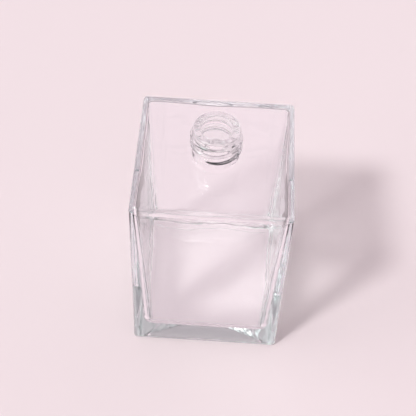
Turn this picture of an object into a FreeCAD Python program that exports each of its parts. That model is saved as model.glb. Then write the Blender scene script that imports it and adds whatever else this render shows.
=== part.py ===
import FreeCAD, Part
import math
import os

# Square moulded-glass bottle with an open screw neck.
# Millimetres, +Z up, origin on the table under the middle of the base, front face towards -Y.
# The glass is drawn as one solid and then divided at the levels where a glassmaker names its zones.

Vector = FreeCAD.Vector

# Body, outside
body_width = 55.0  # across the flats, the same both ways
body_height = 78.0  # table to the flat of the shoulder
upright_edge_radius = 1.5
shoulder_edge_radius = 1.2
heel_radius = 1.4

# Hollow, inside: the blown walls are thinner at the shoulder than at the base
base_thickness = 7.0
shoulder_thickness = 2.0
wall_at_base = 3.5
wall_at_shoulder = 1.3
hollow_corner_low = 4.8  # corner radius of the hollow at the base, less towards the shoulder
hollow_corner_high = 2.4
hollow_heel_radius = 4.5
hollow_shoulder_radius = 2.0

# Push-up: the shallow vault under the base, which leaves a flat rim to stand on
push_up_width = 49.0
push_up_depth = 3.2
push_up_corner = 0.3  # corner radius at the rim; the vault is rounder towards its middle
push_up_rings = 6

# Neck, an 18 mm screw finish
neck_height = 13.5  # shoulder flat to the top of the lip
neck_radius = 8.2  # at the root of the thread
neck_foot_radius = 1.0
lip_outer_radius = 0.8
lip_inner_radius = 0.5
bore_radius = 5.6
throat_radius = 1.8  # rounding where the bore opens into the hollow

# Screw thread, right-handed
thread_radius = 9.0  # at the crest
thread_pitch = 3.175  # eight turns to the inch
thread_turns = 7 / 3
thread_width = 2.0  # at the root
thread_start = 1.9  # middle of the first turn, below the top of the lip
thread_fade = 40.0  # degrees over which each end of the thread rises
thread_end_share = 0.18  # height of the blunt ends, as a share of the full thread
thread_crest_share = 0.4  # width of the flat crest, as a share of the root
thread_step = 15.0  # degrees between the sections of the thread
thread_bite = 0.5  # how far the sections reach into the neck before they are trimmed to it

# Worked out from the sizes above
lip_level = body_height + neck_height
ceiling_level = body_height - shoulder_thickness
thread_top = lip_level - thread_start


def upright_edges(solid):
    """Edges that run from the bottom of a solid to its top."""
    height = solid.BoundBox.ZLength
    return [e for e in solid.Edges if e.BoundBox.ZLength > 0.99 * height]


def level_edges(solid, level):
    """Edges that lie flat at one level."""
    return [e for e in solid.Edges if abs(e.BoundBox.ZMin - level) < 1e-6 and e.BoundBox.ZLength < 1e-6]


def turned(points_and_arcs):
    """Solid of revolution about Z from a closed outline of (x, z) lines and three-point arcs."""
    edges = []
    for stretch in points_and_arcs:
        ends = [Vector(x, 0, z) for x, z in stretch]
        edges.append(Part.Arc(*ends).toShape() if len(ends) == 3 else Part.makeLine(*ends))
    return Part.Face(Part.Wire(edges)).revolve(Vector(0, 0, 0), Vector(0, 0, 1), 360)


def quarter(centre_x, centre_z, radius, degrees):
    """Point on a rounding, at an angle from +X towards +Z."""
    angle = math.radians(degrees)
    return (centre_x + radius * math.cos(angle), centre_z + radius * math.sin(angle))


def outer_block():
    """Square block with rounded upright edges, shoulder and heel."""
    half = body_width / 2
    block = Part.makeBox(body_width, body_width, body_height, Vector(-half, -half, 0))
    block = block.makeFillet(upright_edge_radius, upright_edges(block))
    block = block.makeFillet(shoulder_edge_radius, level_edges(block, body_height))
    return block.makeFillet(heel_radius, level_edges(block, 0))


def hollow():
    """Inside of the body: a square tub that widens upwards, well rounded as blown glass is."""
    low = body_width / 2 - wall_at_base
    high = body_width / 2 - wall_at_shoulder
    rings = []
    for half, level in ((low, base_thickness), (high, ceiling_level)):
        corners = [Vector(x * half, y * half, level) for x, y in ((-1, -1), (1, -1), (1, 1), (-1, 1), (-1, -1))]
        rings.append(Part.makePolygon(corners))
    tub = Part.makeLoft(rings, True, True)
    tub = tub.makeFillet(hollow_corner_low, hollow_corner_high, upright_edges(tub))
    tub = tub.makeFillet(hollow_shoulder_radius, level_edges(tub, ceiling_level))
    return tub.makeFillet(hollow_heel_radius, level_edges(tub, base_thickness))


def neck_outside():
    """Solid neck: a rounded foot on the shoulder, a plain wall and a rounded lip."""
    foot = neck_radius + neck_foot_radius
    foot_level = body_height + neck_foot_radius
    lip_start = lip_level - lip_outer_radius
    land = neck_radius - lip_outer_radius
    sunk = body_height - shoulder_thickness / 2
    return turned(
        [
            [(0, sunk), (foot, sunk)],
            [(foot, sunk), (foot, body_height)],
            [(foot, body_height), quarter(foot, foot_level, neck_foot_radius, 225), (neck_radius, foot_level)],
            [(neck_radius, foot_level), (neck_radius, lip_start)],
            [(neck_radius, lip_start), quarter(land, lip_start, lip_outer_radius, 45), (land, lip_level)],
            [(land, lip_level), (0, lip_level)],
            [(0, lip_level), (0, sunk)],
        ]
    )


def neck_inside():
    """Bore of the neck, rounded at the lip and opening out in a throat where it meets the hollow."""
    throat = bore_radius + throat_radius
    throat_top = ceiling_level + throat_radius
    lip_start = lip_level - lip_inner_radius
    mouth = bore_radius + lip_inner_radius
    sunk = ceiling_level - hollow_shoulder_radius / 2
    return turned(
        [
            [(0, sunk), (throat, sunk)],
            [(throat, sunk), (throat, ceiling_level)],
            [(throat, ceiling_level), quarter(throat, throat_top, throat_radius, 225), (bore_radius, throat_top)],
            [(bore_radius, throat_top), (bore_radius, lip_start)],
            [(bore_radius, lip_start), quarter(mouth, lip_start, lip_inner_radius, 135), (mouth, lip_level)],
            [(mouth, lip_level), (0, lip_level)],
            [(0, lip_level), (0, sunk)],
        ]
    )


def rounded_square(half, corner, level):
    """Square outline with round corners, lying flat at one level."""
    flat = half - corner
    edges = []
    for turn in range(4):
        middle = quarter(flat, flat, corner, 45)
        side = Part.makeLine(Vector(half, -flat, level), Vector(half, flat, level))
        bend = Part.Arc(Vector(half, flat, level), Vector(*middle, level), Vector(flat, half, level)).toShape()
        for edge in (side, bend):
            edge.rotate(Vector(0, 0, 0), Vector(0, 0, 1), 90 * turn)
            edges.append(edge)
    return Part.Wire(edges)


def push_up():
    """Vault that hollows the underside of the base: square at its rim, rising to a rounder middle."""
    rings = []
    for i in range(push_up_rings):
        share = 1 - i / push_up_rings
        half = push_up_width / 2 * share
        corner = push_up_corner * share + half * (1 - share)
        rings.append(rounded_square(half, corner, push_up_depth * (1 - share**2)))
    return Part.makeLoft(rings, True)


def thread_section(turn_degrees):
    """Outline of the thread at one angle: a flat crest between sloping flanks, lower near both ends."""
    run = thread_turns * 360
    rise = min(turn_degrees, run - turn_degrees) / thread_fade
    share = thread_end_share + (1 - thread_end_share) * math.sin(math.pi / 2 * min(1, rise))
    level = thread_top - thread_pitch * turn_degrees / 360
    half = thread_width / 2 * math.sqrt(share)
    half_crest = half * thread_crest_share
    crest = neck_radius + (thread_radius - neck_radius) * share
    root = neck_radius - thread_bite
    section = ((root, -half), (crest, -half_crest), (crest, half_crest), (root, half), (root, -half))
    outline = Part.makePolygon([Vector(x, 0, level + z) for x, z in section])
    outline.rotate(Vector(0, 0, 0), Vector(0, 0, 1), -turn_degrees)
    return outline


def thread():
    """Right-handed ridge round the neck, trimmed so that it sits on the neck's wall."""
    steps = round(thread_turns * 360 / thread_step)
    ridge = Part.makeLoft([thread_section(i * thread_step) for i in range(steps + 1)], True, True)
    core = Part.makeCylinder(neck_radius, 2 * neck_height, Vector(0, 0, body_height - neck_height / 2))
    return ridge.cut(core)


def zone(glass, low, high):
    """Stretch of the glass between two levels."""
    slab = Part.makeBox(2 * body_width, 2 * body_width, high - low, Vector(-body_width, -body_width, low))
    return glass.common(slab)


def main():
    glass = outer_block().fuse(neck_outside())
    glass = glass.cut(hollow().fuse(neck_inside())).cut(push_up())
    pieces = {
        "base": zone(glass, 0, base_thickness),
        "body": zone(glass, base_thickness, ceiling_level),
        "shoulder": zone(glass, ceiling_level, body_height),
        "neck": zone(glass, body_height, lip_level),
        "screw_thread": thread(),
    }
    os.makedirs("parts", exist_ok=True)
    for name, piece in pieces.items():
        piece = piece.removeSplitter()
        piece.exportStep(f"parts/{name}.step")
        print(f"{name}: {len(piece.Solids)} solid, valid {piece.isValid()}, {piece.Volume:.0f} mm3")
    room = hollow().fuse(neck_inside()).Volume
    print(f"glass {glass.Volume:.0f} mm3, room inside {room / 1000:.0f} ml to the brim")


main()
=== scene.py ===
import math
import bpy
import numpy as np
from mathutils import Matrix, Vector


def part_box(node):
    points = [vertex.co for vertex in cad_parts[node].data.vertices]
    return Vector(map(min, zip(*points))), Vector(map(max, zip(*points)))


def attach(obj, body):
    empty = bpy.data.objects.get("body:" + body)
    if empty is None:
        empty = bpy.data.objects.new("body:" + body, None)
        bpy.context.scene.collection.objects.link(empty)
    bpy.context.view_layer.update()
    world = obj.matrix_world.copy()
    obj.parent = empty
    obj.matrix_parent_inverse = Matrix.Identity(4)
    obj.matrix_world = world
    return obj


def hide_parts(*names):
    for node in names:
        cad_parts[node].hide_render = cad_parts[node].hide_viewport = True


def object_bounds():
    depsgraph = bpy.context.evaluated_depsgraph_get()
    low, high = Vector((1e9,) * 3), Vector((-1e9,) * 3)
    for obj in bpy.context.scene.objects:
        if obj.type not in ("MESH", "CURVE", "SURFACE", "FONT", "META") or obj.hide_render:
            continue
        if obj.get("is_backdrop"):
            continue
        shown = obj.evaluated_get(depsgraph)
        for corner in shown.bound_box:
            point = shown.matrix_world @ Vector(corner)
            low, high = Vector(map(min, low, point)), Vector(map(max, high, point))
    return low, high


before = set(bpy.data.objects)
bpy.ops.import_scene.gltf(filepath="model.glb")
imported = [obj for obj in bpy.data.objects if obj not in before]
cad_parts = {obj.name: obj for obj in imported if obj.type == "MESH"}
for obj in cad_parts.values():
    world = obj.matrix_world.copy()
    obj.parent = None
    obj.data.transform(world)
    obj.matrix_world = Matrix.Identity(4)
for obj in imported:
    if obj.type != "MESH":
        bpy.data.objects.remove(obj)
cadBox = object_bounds()
mm = 0.001
print("frame loaded, tall", round(cadBox[1][2] / mm, 1), "mm")


def linear(hexColour):
    # sRGB hex to the linear colour that shaders take
    parts = np.array([int(hexColour[i:i + 2], 16) for i in (1, 3, 5)]) / 255
    low, high = parts / 12.92, ((parts + 0.055) / 1.055) ** 2.4
    return (*np.where(parts <= 0.04045, low, high).tolist(), 1.0)


def addNode(tree, kind, links=None, **settings):
    # one node, with its plain settings, its socket values and its links
    node = tree.nodes.new(kind)
    for name, value in settings.items():
        setattr(node, name, value)
    for socket, value in (links or {}).items():
        if isinstance(value, bpy.types.NodeSocket):
            tree.links.new(value, node.inputs[socket])
        else:
            node.inputs[socket].default_value = value
    return node


def ramp(tree, value, span, ends=(0.0, 1.0)):
    # smooth step from one end to the other while a value crosses a span
    return addNode(tree, "ShaderNodeMapRange", {
        "Value": value, "From Min": span[0], "From Max": span[1], "To Min": ends[0], "To Max": ends[1],
    }, interpolation_type="SMOOTHSTEP").outputs[0]


def calculate(tree, operation, first, second=0.0):
    # one step of arithmetic on one or two values
    return addNode(tree, "ShaderNodeMath", {0: first, 1: second}, operation=operation).outputs[0]


# The bottle: one skin of glass, outside and inside
bottle = {
    "uprightEdge": 1.5 * mm,  # rounding of the four upright edges
    "shoulderEdge": 1.2 * mm,
    "heel": 1.4 * mm,
    "wallAtBase": 3.5 * mm,
    "wallAtShoulder": 1.3 * mm,
    "bow": 0.4 * mm,  # blown walls are thicker half way between the corners, most so at the shoulder
    "bowInFront": 0.2,  # share of that at the front wall
    "waveDepth": 0.25 * mm,  # slow waves in the hollow
    "wavesRound": 7,
    "waveRise": 14 * mm,
    "wavePhase": (0.7, 0.4),  # where the waves start, round the axis and upwards
    "shoulderThickness": 1.6 * mm,
    "baseThickness": 7.0 * mm,
    "hollowCornerLow": 4.8 * mm,  # corner radius of the hollow: by the base, by the shoulder, on its floor
    "hollowCornerHigh": 2.4 * mm,
    "hollowCornerFloor": 1.0 * mm,
    "hollowHeel": 4.5 * mm,  # rounding above the floor of the hollow and under its ceiling
    "hollowShoulder": 1.2 * mm,
    "pushUpHalf": 24.5 * mm,  # vault under the base
    "pushUpDepth": 3.2 * mm,
    "pushUpCorner": 0.3 * mm,
    "neckRadius": 8.2 * mm,
    "neckFoot": 1.0 * mm,
    "bore": 5.6 * mm,
    "throat": 1.8 * mm,
    "lipOuter": 0.8 * mm,
    "lipInner": 0.5 * mm,
    "threadRadius": 9.0 * mm,
    "threadPitch": 3.175 * mm,
    "threadTurns": 7 / 3,
    "threadWidth": 2.0 * mm,
    "threadStart": 1.9 * mm,  # middle of the first turn, below the lip
    "threadFade": 40.0,  # degrees over which each end rises
    "threadRound": 1.6,  # power that shapes the crest: more is rounder
    # steps of the mesh from the middle of a flat to the corner: how many, and how wide beside the others
    "stepsToCorner": ((15, 1.8), (8, 1.2), (7, 0.6), (10, 0.42)),
}


def lineStretch(start, end, count):
    # straight from one (half width, level) to another
    return np.linspace(start, end, count)


def arcStretch(centre, radius, fromDegrees, toDegrees, count):
    # part of a circle about a centre, angles counted from outwards to upwards
    angle = np.radians(np.linspace(fromDegrees, toDegrees, count))
    return np.stack([centre[0] + radius * np.cos(angle), centre[1] + radius * np.sin(angle)], 1)


def vaultStretch(reach, depth, count):
    # shallow vault: the level falls from its depth in the middle with the square of the way out
    out = np.linspace(0, 1, count)
    return np.stack([reach * out, depth * (1 - out**2)], 1)


def outlineReach(direction, half, corner):
    # distance from the axis to a rounded square: half / cos on the flats, a small circle at the corner
    turn = np.abs((direction + math.pi / 4) % (math.pi / 2) - math.pi / 4)
    centre = half - corner
    flat = half / np.cos(turn)
    along = centre * (np.cos(turn) + np.sin(turn))
    across = centre * (np.cos(turn) - np.sin(turn))
    rounded = along + np.sqrt(np.maximum(corner**2 - across**2, 0))
    return np.where(half * np.tan(turn) <= centre, flat, rounded)


def directionsRound(settings):
    # directions about the axis, close together at the corners and wide apart on the flats
    steps = np.concatenate([np.full(count, width) for count, width in settings["stepsToCorner"]])
    half = np.cumsum(steps * 45 / steps.sum())
    quarter = np.concatenate([[0], half[:-1], 90 - half[::-1]])
    return np.radians(np.concatenate([quarter + 90 * side for side in range(4)]))


def threadRidge(direction, level, settings, lipLevel):
    # helix: the ridge's middle drops one pitch a turn, clockwise from +X; its section is a power of a
    # cosine and its ends rise with a sine
    run = settings["threadTurns"] * 360
    height = settings["threadRadius"] - settings["neckRadius"]
    ridge = np.zeros(np.broadcast(direction, level).shape)
    for turn in range(math.ceil(settings["threadTurns"])):
        degrees = np.degrees(-direction % (2 * math.pi)) + 360 * turn
        fromEnd = np.minimum(degrees, run - degrees) / settings["threadFade"]
        rise = np.sin(math.pi / 2 * np.clip(fromEnd, 0, 1))
        middle = lipLevel - settings["threadStart"] - settings["threadPitch"] * degrees / 360
        off = np.clip((level - middle) / (settings["threadWidth"] / 2), -1, 1)
        ridge = np.maximum(ridge, height * rise * np.cos(math.pi / 2 * off) ** settings["threadRound"])
    return ridge


def hollowBow(direction, share, level, settings):
    # what the hollow's wall stands in: cos squared of twice the direction, growing with the cube of the
    # share of the height, less in front, plus a wave: a cosine round the axis times a cosine upwards
    front = np.clip(-np.sin(direction), 0, 1) ** 4
    bow = settings["bow"] * share**3 * np.cos(2 * direction) ** 2 * (1 - (1 - settings["bowInFront"]) * front)
    phaseRound, phaseUp = settings["wavePhase"]
    waveRound = np.cos(settings["wavesRound"] * direction + phaseRound)
    waveUp = np.cos(level / settings["waveRise"] + phaseUp)
    return bow + settings["waveDepth"] * (0.5 + 0.5 * waveRound * waveUp)


def bottleSkin(settings):
    # stations of (half width, level) from under the base, up the outside and down the inside, each made
    # into a rounded square or a circle about the axis
    half, top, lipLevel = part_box("body")[1][0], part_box("shoulder")[1][2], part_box("neck")[1][2]
    floorLevel, ceiling = settings["baseThickness"], top - settings["shoulderThickness"]
    low, high = half - settings["wallAtBase"], half - settings["wallAtShoulder"]
    edge, heel, upright = settings["shoulderEdge"], settings["heel"], settings["uprightEdge"]
    inEdge, inHeel = settings["hollowShoulder"], settings["hollowHeel"]
    cornerLow, cornerHigh = settings["hollowCornerLow"], settings["hollowCornerHigh"]
    cornerFloor = settings["hollowCornerFloor"]
    pushHalf, pushCorner = settings["pushUpHalf"], settings["pushUpCorner"]
    neckRadius, bore, throat = settings["neckRadius"], settings["bore"], settings["throat"]
    lipOut, lipIn, foot = settings["lipOuter"], settings["lipInner"], settings["neckFoot"]
    inLow = low + (high - low) / (ceiling - floorLevel) * inHeel

    # each stretch, with its number of stations last, and the corner radii at its start and end; a circle
    # is a square that is all corner
    outside = [
        (vaultStretch(pushHalf, settings["pushUpDepth"], 30), "round", pushCorner),
        (lineStretch((pushHalf, 0), (half - heel, 0), 6), pushCorner, upright - heel),
        (arcStretch((half - heel, heel), heel, -90, 0, 12), upright - heel, upright),
        (lineStretch((half, heel), (half, top - edge), 30), upright, upright),
        (arcStretch((half - edge, top - edge), edge, 0, 90, 10), upright, upright - edge),
        (lineStretch((half - edge, top), (neckRadius + foot, top), 16), upright - edge, "round"),
        (arcStretch((neckRadius + foot, top + foot), foot, 270, 180, 8), "round", "round"),
        (lineStretch((neckRadius, top + foot), (neckRadius, lipLevel - lipOut), 64), "round", "round"),
    ]
    inside = [
        (arcStretch((neckRadius - lipOut, lipLevel - lipOut), lipOut, 0, 90, 8), "round", "round"),
        (arcStretch((bore + lipIn, lipLevel - lipIn), lipIn, 90, 180, 6), "round", "round"),
        (lineStretch((bore, lipLevel - lipIn), (bore, ceiling + throat), 12), "round", "round"),
        (arcStretch((bore + throat, ceiling + throat), throat, 180, 270, 10), "round", "round"),
        (lineStretch((bore + throat, ceiling), (high - inEdge, ceiling), 10), "round", cornerHigh - inEdge),
        (arcStretch((high - inEdge, ceiling - inEdge), inEdge, 90, 0, 16), cornerHigh - inEdge, cornerHigh),
        (lineStretch((high, ceiling - inEdge), (inLow, floorLevel + inHeel), 34), cornerHigh, cornerLow),
        (arcStretch((inLow - inHeel, floorLevel + inHeel), inHeel, 0, -90, 16), cornerLow, cornerFloor),
        (lineStretch((inLow - inHeel, floorLevel), (0, floorLevel), 16), cornerFloor, "round"),
    ]
    profile, shares = [], []
    for points, first, last in outside + inside:
        corners = ((first, points[0][0]), (last, points[-1][0]))
        ends = [1.0 if corner == "round" else corner / max(reach, mm) for corner, reach in corners]
        skip = 1 if profile else 0
        profile.append(points[skip:])
        shares.append(np.linspace(*ends, len(points))[skip:])
    profile, shares = np.concatenate(profile), np.clip(np.concatenate(shares), 0, 1)[:, None]
    halves, levels = profile[:, :1], profile[:, 1:]

    direction = directionsRound(settings)[None, :]
    reach = outlineReach(direction, halves, halves * shares)
    isOut = np.arange(len(profile))[:, None] < sum(len(points) - 1 for points, first, last in outside)
    onNeck = isOut & (levels > top + foot)
    reach = reach + np.where(onNeck, threadRidge(direction, levels, settings, lipLevel), 0)
    mouth = bore + throat
    inBody = np.where(isOut, 0, np.clip((halves - mouth) / (low - inHeel - mouth), 0, 1))
    share = np.clip((levels - floorLevel) / (ceiling - floorLevel), 0, 1)
    reach = reach - inBody * hollowBow(direction, share, levels, settings)
    return np.stack([reach * np.cos(direction), reach * np.sin(direction), levels + 0 * reach], -1)


def skinMesh(name, points):
    # closes a grid (stations x directions) round the axis, with its first and last stations drawn to poles
    stations, around = points.shape[:2]
    inner = points[1:-1].reshape(-1, 3)
    places = np.concatenate([inner, points[0].mean(0)[None], points[-1].mean(0)[None]])
    ring = np.arange((stations - 2) * around).reshape(-1, around)
    ahead = np.roll(ring, -1, 1)
    quads = np.stack([ring[:-1], ahead[:-1], ahead[1:], ring[1:]], -1).reshape(-1, 4)
    under = np.stack([np.full(around, len(inner)), ahead[0], ring[0]], -1)
    over = np.stack([ring[-1], ahead[-1], np.full(around, len(inner) + 1)], -1)
    mesh = bpy.data.meshes.new(name)
    mesh.from_pydata(places.tolist(), [], under.tolist() + quads.tolist() + over.tolist())
    mesh.polygons.foreach_set("use_smooth", np.ones(len(mesh.polygons), bool))
    mesh.update()
    mesh.validate()
    piece = bpy.data.objects.new(name, mesh)
    bpy.context.scene.collection.objects.link(piece)
    return piece


glassLook = {
    "colour": "#FCFEFD",
    "ior": 1.52,  # soda-lime glass
    "roughness": 0.0,  # fire polished
    "depthColour": "#54C4C4",  # what is left of white light after a long way through the glass
    "depthDensity": 2.0,  # per metre
    "rippleSize": 9.0 * mm,  # from the mould
    "rippleDepth": 0.08 * mm,
    "lampThrough": 0.92,  # share of lamp light that one surface lets by
    "lampEdge": ((0.62, 0.95), (1.0, 0.0)),  # less of it where the surface is edge on
    "lampBase": ((10 * mm, 30 * mm), (0.05, 1.0)),  # less at the thick foot of the walls, by level
    "lampShoulder": ((68 * mm, 77 * mm), (1.0, 0.3)),  # less at the rounded shoulder and the neck, by level
    "lampCorner": ((16 * mm, 25 * mm), (1.0, 0.3)),  # less where both walls of a corner are near
    "baseFlat": 1.0,  # at least this share through the level faces of the base and of the shoulder
    "shoulderFlat": 0.6,
}


def lampShare(tree, place, settings):
    # share of lamp light that goes straight on: a product of smooth steps for slant, level and corner
    facing = addNode(tree, "ShaderNodeLayerWeight", {"Blend": 0.5}).outputs["Facing"]
    normal = addNode(tree, "ShaderNodeNewGeometry").outputs["Normal"]
    lying = calculate(tree, "ABSOLUTE", addNode(tree, "ShaderNodeSeparateXYZ", {0: normal}).outputs["Z"])
    aside = addNode(tree, "ShaderNodeVectorMath", {0: place}, operation="ABSOLUTE").outputs[0]
    away = addNode(tree, "ShaderNodeSeparateXYZ", {0: aside}).outputs
    share = calculate(tree, "MULTIPLY", ramp(tree, facing, *settings["lampEdge"]), settings["lampThrough"])
    for zone, flat in (("lampBase", "baseFlat"), ("lampShoulder", "shoulderFlat")):
        walls = ramp(tree, away["Z"], *settings[zone])
        flats = calculate(tree, "MULTIPLY", lying, settings[flat])
        share = calculate(tree, "MULTIPLY", share, calculate(tree, "MAXIMUM", walls, flats))
    corner = ramp(tree, calculate(tree, "MINIMUM", away["X"], away["Y"]), *settings["lampCorner"])
    return calculate(tree, "MULTIPLY", share, corner)


def mouldedGlass(settings):
    # clear soda-lime glass, blown in a mould and fire polished: bright edges, faint ripples, little colour
    material = bpy.data.materials.new("moulded_soda_lime_glass")
    material.use_nodes = True
    tree = material.node_tree
    tree.nodes.clear()
    place = addNode(tree, "ShaderNodeTexCoord").outputs["Object"]
    ripple = addNode(tree, "ShaderNodeTexNoise", {
        "Vector": place, "Scale": 1 / settings["rippleSize"], "Detail": 1.0})
    bump = addNode(tree, "ShaderNodeBump", {
        "Height": ripple.outputs["Fac"], "Strength": 1.0, "Distance": settings["rippleDepth"]})
    glass = addNode(tree, "ShaderNodeBsdfPrincipled", {
        "Base Color": linear(settings["colour"]), "Roughness": settings["roughness"], "IOR": settings["ior"],
        "Transmission Weight": 1.0, "Normal": bump.outputs["Normal"]})
    lampLight = addNode(tree, "ShaderNodeBsdfTransparent", {"Color": lampShare(tree, place, settings)})
    shadowRay = addNode(tree, "ShaderNodeLightPath").outputs["Is Shadow Ray"]
    surface = addNode(tree, "ShaderNodeMixShader", {
        0: shadowRay, 1: glass.outputs[0], 2: lampLight.outputs[0]})
    depth = addNode(tree, "ShaderNodeVolumeAbsorption", {
        "Color": linear(settings["depthColour"]), "Density": settings["depthDensity"]})
    addNode(tree, "ShaderNodeOutputMaterial", {"Surface": surface.outputs[0], "Volume": depth.outputs[0]})
    return material


skin = skinMesh("glass_bottle", bottleSkin(bottle))
skin.data.materials.append(mouldedGlass(glassLook))
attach(skin, "root")
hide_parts("base", "body", "shoulder", "neck", "screw_thread")
print("glass skin:", len(skin.data.vertices), "points")


# Floor, which glows with painted light where it is seen through the glass
floorLook = {
    "colour": "#EDE1E3",
    "half": 3.0,  # metres
    "gap": 0.15 * mm,  # under the rim of the base
    "paintedGlowShare": 0.4,  # share of painted light: seen through the glass, the floor glows with a plain colour in place of the light that the glass gathers under itself
    # colour and strength of that painted glow
    "paintedGlowColour": "#F8DCEA",
    "paintedGlowStrength": 1.25,
}


def paleFloor(settings):
    # one square lying under the bottle, painted a pale matt pink; where it is seen through the glass it also
    # glows with painted light, in place of the light the glass gathers onto it
    corner = np.array([[-1, -1], [1, -1], [1, 1], [-1, 1]]) * settings["half"]
    corner = np.column_stack([corner, np.full(4, -settings["gap"])])
    mesh = bpy.data.meshes.new("floor")
    mesh.from_pydata(corner.tolist(), [], [(0, 1, 2, 3)])
    floor = bpy.data.objects.new("floor", mesh)
    bpy.context.scene.collection.objects.link(floor)
    material = bpy.data.materials.new("matt_board_with_painted_glow")
    material.use_nodes = True
    tree = material.node_tree
    tree.nodes.clear()
    paint = addNode(tree, "ShaderNodeBsdfDiffuse", {"Color": linear(settings["colour"])})
    # painted light: an emission that the floor shows only through the glass
    paintedGlow = addNode(tree, "ShaderNodeEmission", {
        "Color": linear(settings["paintedGlowColour"]), "Strength": settings["paintedGlowStrength"]})
    seenThrough = addNode(tree, "ShaderNodeLightPath").outputs["Is Transmission Ray"]
    share = calculate(tree, "MULTIPLY", seenThrough, settings["paintedGlowShare"])
    board = addNode(tree, "ShaderNodeMixShader", {0: share, 1: paint.outputs[0], 2: paintedGlow.outputs[0]})
    addNode(tree, "ShaderNodeOutputMaterial", {"Surface": board.outputs[0]})
    mesh.materials.append(material)
    floor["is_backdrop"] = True


paleFloor(floorLook)
print("floor laid")


# Light: a soft key lamp, a sky that is dimmer low down and at the horizon, and a soft box at the left
lightLook = {
    "keyDirection": (-0.484, -0.429, 0.76),
    "keyStrength": 1.5,
    "keySpread": 8.5,  # degrees, for the soft edge of the shadow
    "skyColour": "#FFF2F7",
    "skyStrength": 0.66,
    "skyDirection": (0.05, -0.1, 0.99),
    "skyEdge": (0.45, 0.85),
    "lowColour": "#EFE3EC",
    "lowStrength": 0.49,
    "horizonColour": "#EFE3EC",
    "horizonDirection": (0.0, 0.0, -1.0),  # draws darker lines along the glass
    "horizonEdge": (-0.3, -0.15),
    "horizonStrength": 0.2,
    "boxColour": "#FFFFFF",
    "boxDirection": (-0.9, -0.2, 0.39),  # whitens the corners of the glass
    "boxEdge": (0.8, 0.93),
    "boxStrength": 2.0,
}


def studioLight(settings):
    # one sun lamp, and a world of plain tones that are mixed by direction
    lamp = bpy.data.lights.new("key", "SUN")
    lamp.energy = settings["keyStrength"]
    lamp.angle = math.radians(settings["keySpread"])
    key = bpy.data.objects.new("key", lamp)
    key.rotation_euler = Vector(settings["keyDirection"]).to_track_quat("Z", "Y").to_euler()
    bpy.context.scene.collection.objects.link(key)

    world = bpy.data.worlds.new("studio")
    world.use_nodes = True
    bpy.context.scene.world = world
    tree = world.node_tree
    tree.nodes.clear()
    way = addNode(tree, "ShaderNodeTexCoord").outputs["Generated"]
    back = addNode(tree, "ShaderNodeBackground", {
        "Color": linear(settings["lowColour"]), "Strength": settings["lowStrength"]})
    for part in ("sky", "horizon", "box"):
        towards = addNode(tree, "ShaderNodeVectorMath", {
            0: way, 1: settings[part + "Direction"]}, operation="DOT_PRODUCT")
        share = ramp(tree, towards.outputs["Value"], settings[part + "Edge"])
        light = addNode(tree, "ShaderNodeBackground", {
            "Color": linear(settings[part + "Colour"]), "Strength": settings[part + "Strength"]})
        back = addNode(tree, "ShaderNodeMixShader", {0: share, 1: back.outputs[0], 2: light.outputs[0]})
    addNode(tree, "ShaderNodeOutputWorld", {"Surface": back.outputs[0]})


studioLight(lightLook)
print("light set")


# Camera, fitted to the corners of the body
cameraLook = {
    "elevation": 50.707,
    "azimuth": 0.767,
    "roll": 3.012,
    "distance": 368.69 * mm,
    "lens": 83.412,
    "sensor": 36,
    "aim": (-1.737 * mm, 8.073 * mm, 39 * mm),
}


def photoCamera(settings):
    # looks at the aim from an elevation and an azimuth in degrees, rolled about its own line of sight
    el, az, roll = (math.radians(settings[name]) for name in ("elevation", "azimuth", "roll"))
    back = Vector((math.sin(az) * math.cos(el), -math.cos(az) * math.cos(el), math.sin(el)))
    right = Vector((0, 0, 1)).cross(back).normalized()
    up = back.cross(right)
    right, up = right * math.cos(roll) + up * math.sin(roll), up * math.cos(roll) - right * math.sin(roll)
    data = bpy.data.cameras.new("photo_view")
    data.lens = settings["lens"]
    data.sensor_width = settings["sensor"]
    camera = bpy.data.objects.new("photo_view", data)
    turn = Matrix((right, up, back)).transposed().to_4x4()
    camera.matrix_world = Matrix.Translation(Vector(settings["aim"]) + back * settings["distance"]) @ turn
    bpy.context.scene.collection.objects.link(camera)
    bpy.context.scene.camera = camera


photoCamera(cameraLook)
print("camera placed")

# enough bounces for light to cross the glass many times
cycles = bpy.context.scene.cycles
cycles.max_bounces = 32
cycles.transmission_bounces = 24
cycles.glossy_bounces = 16
cycles.transparent_max_bounces = 32
bpy.context.scene.view_settings.view_transform = "Standard"

boxes = {"cad": cadBox, "visual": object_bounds()}
boxes = {name: np.array(box, float).tolist() for name, box in boxes.items()}
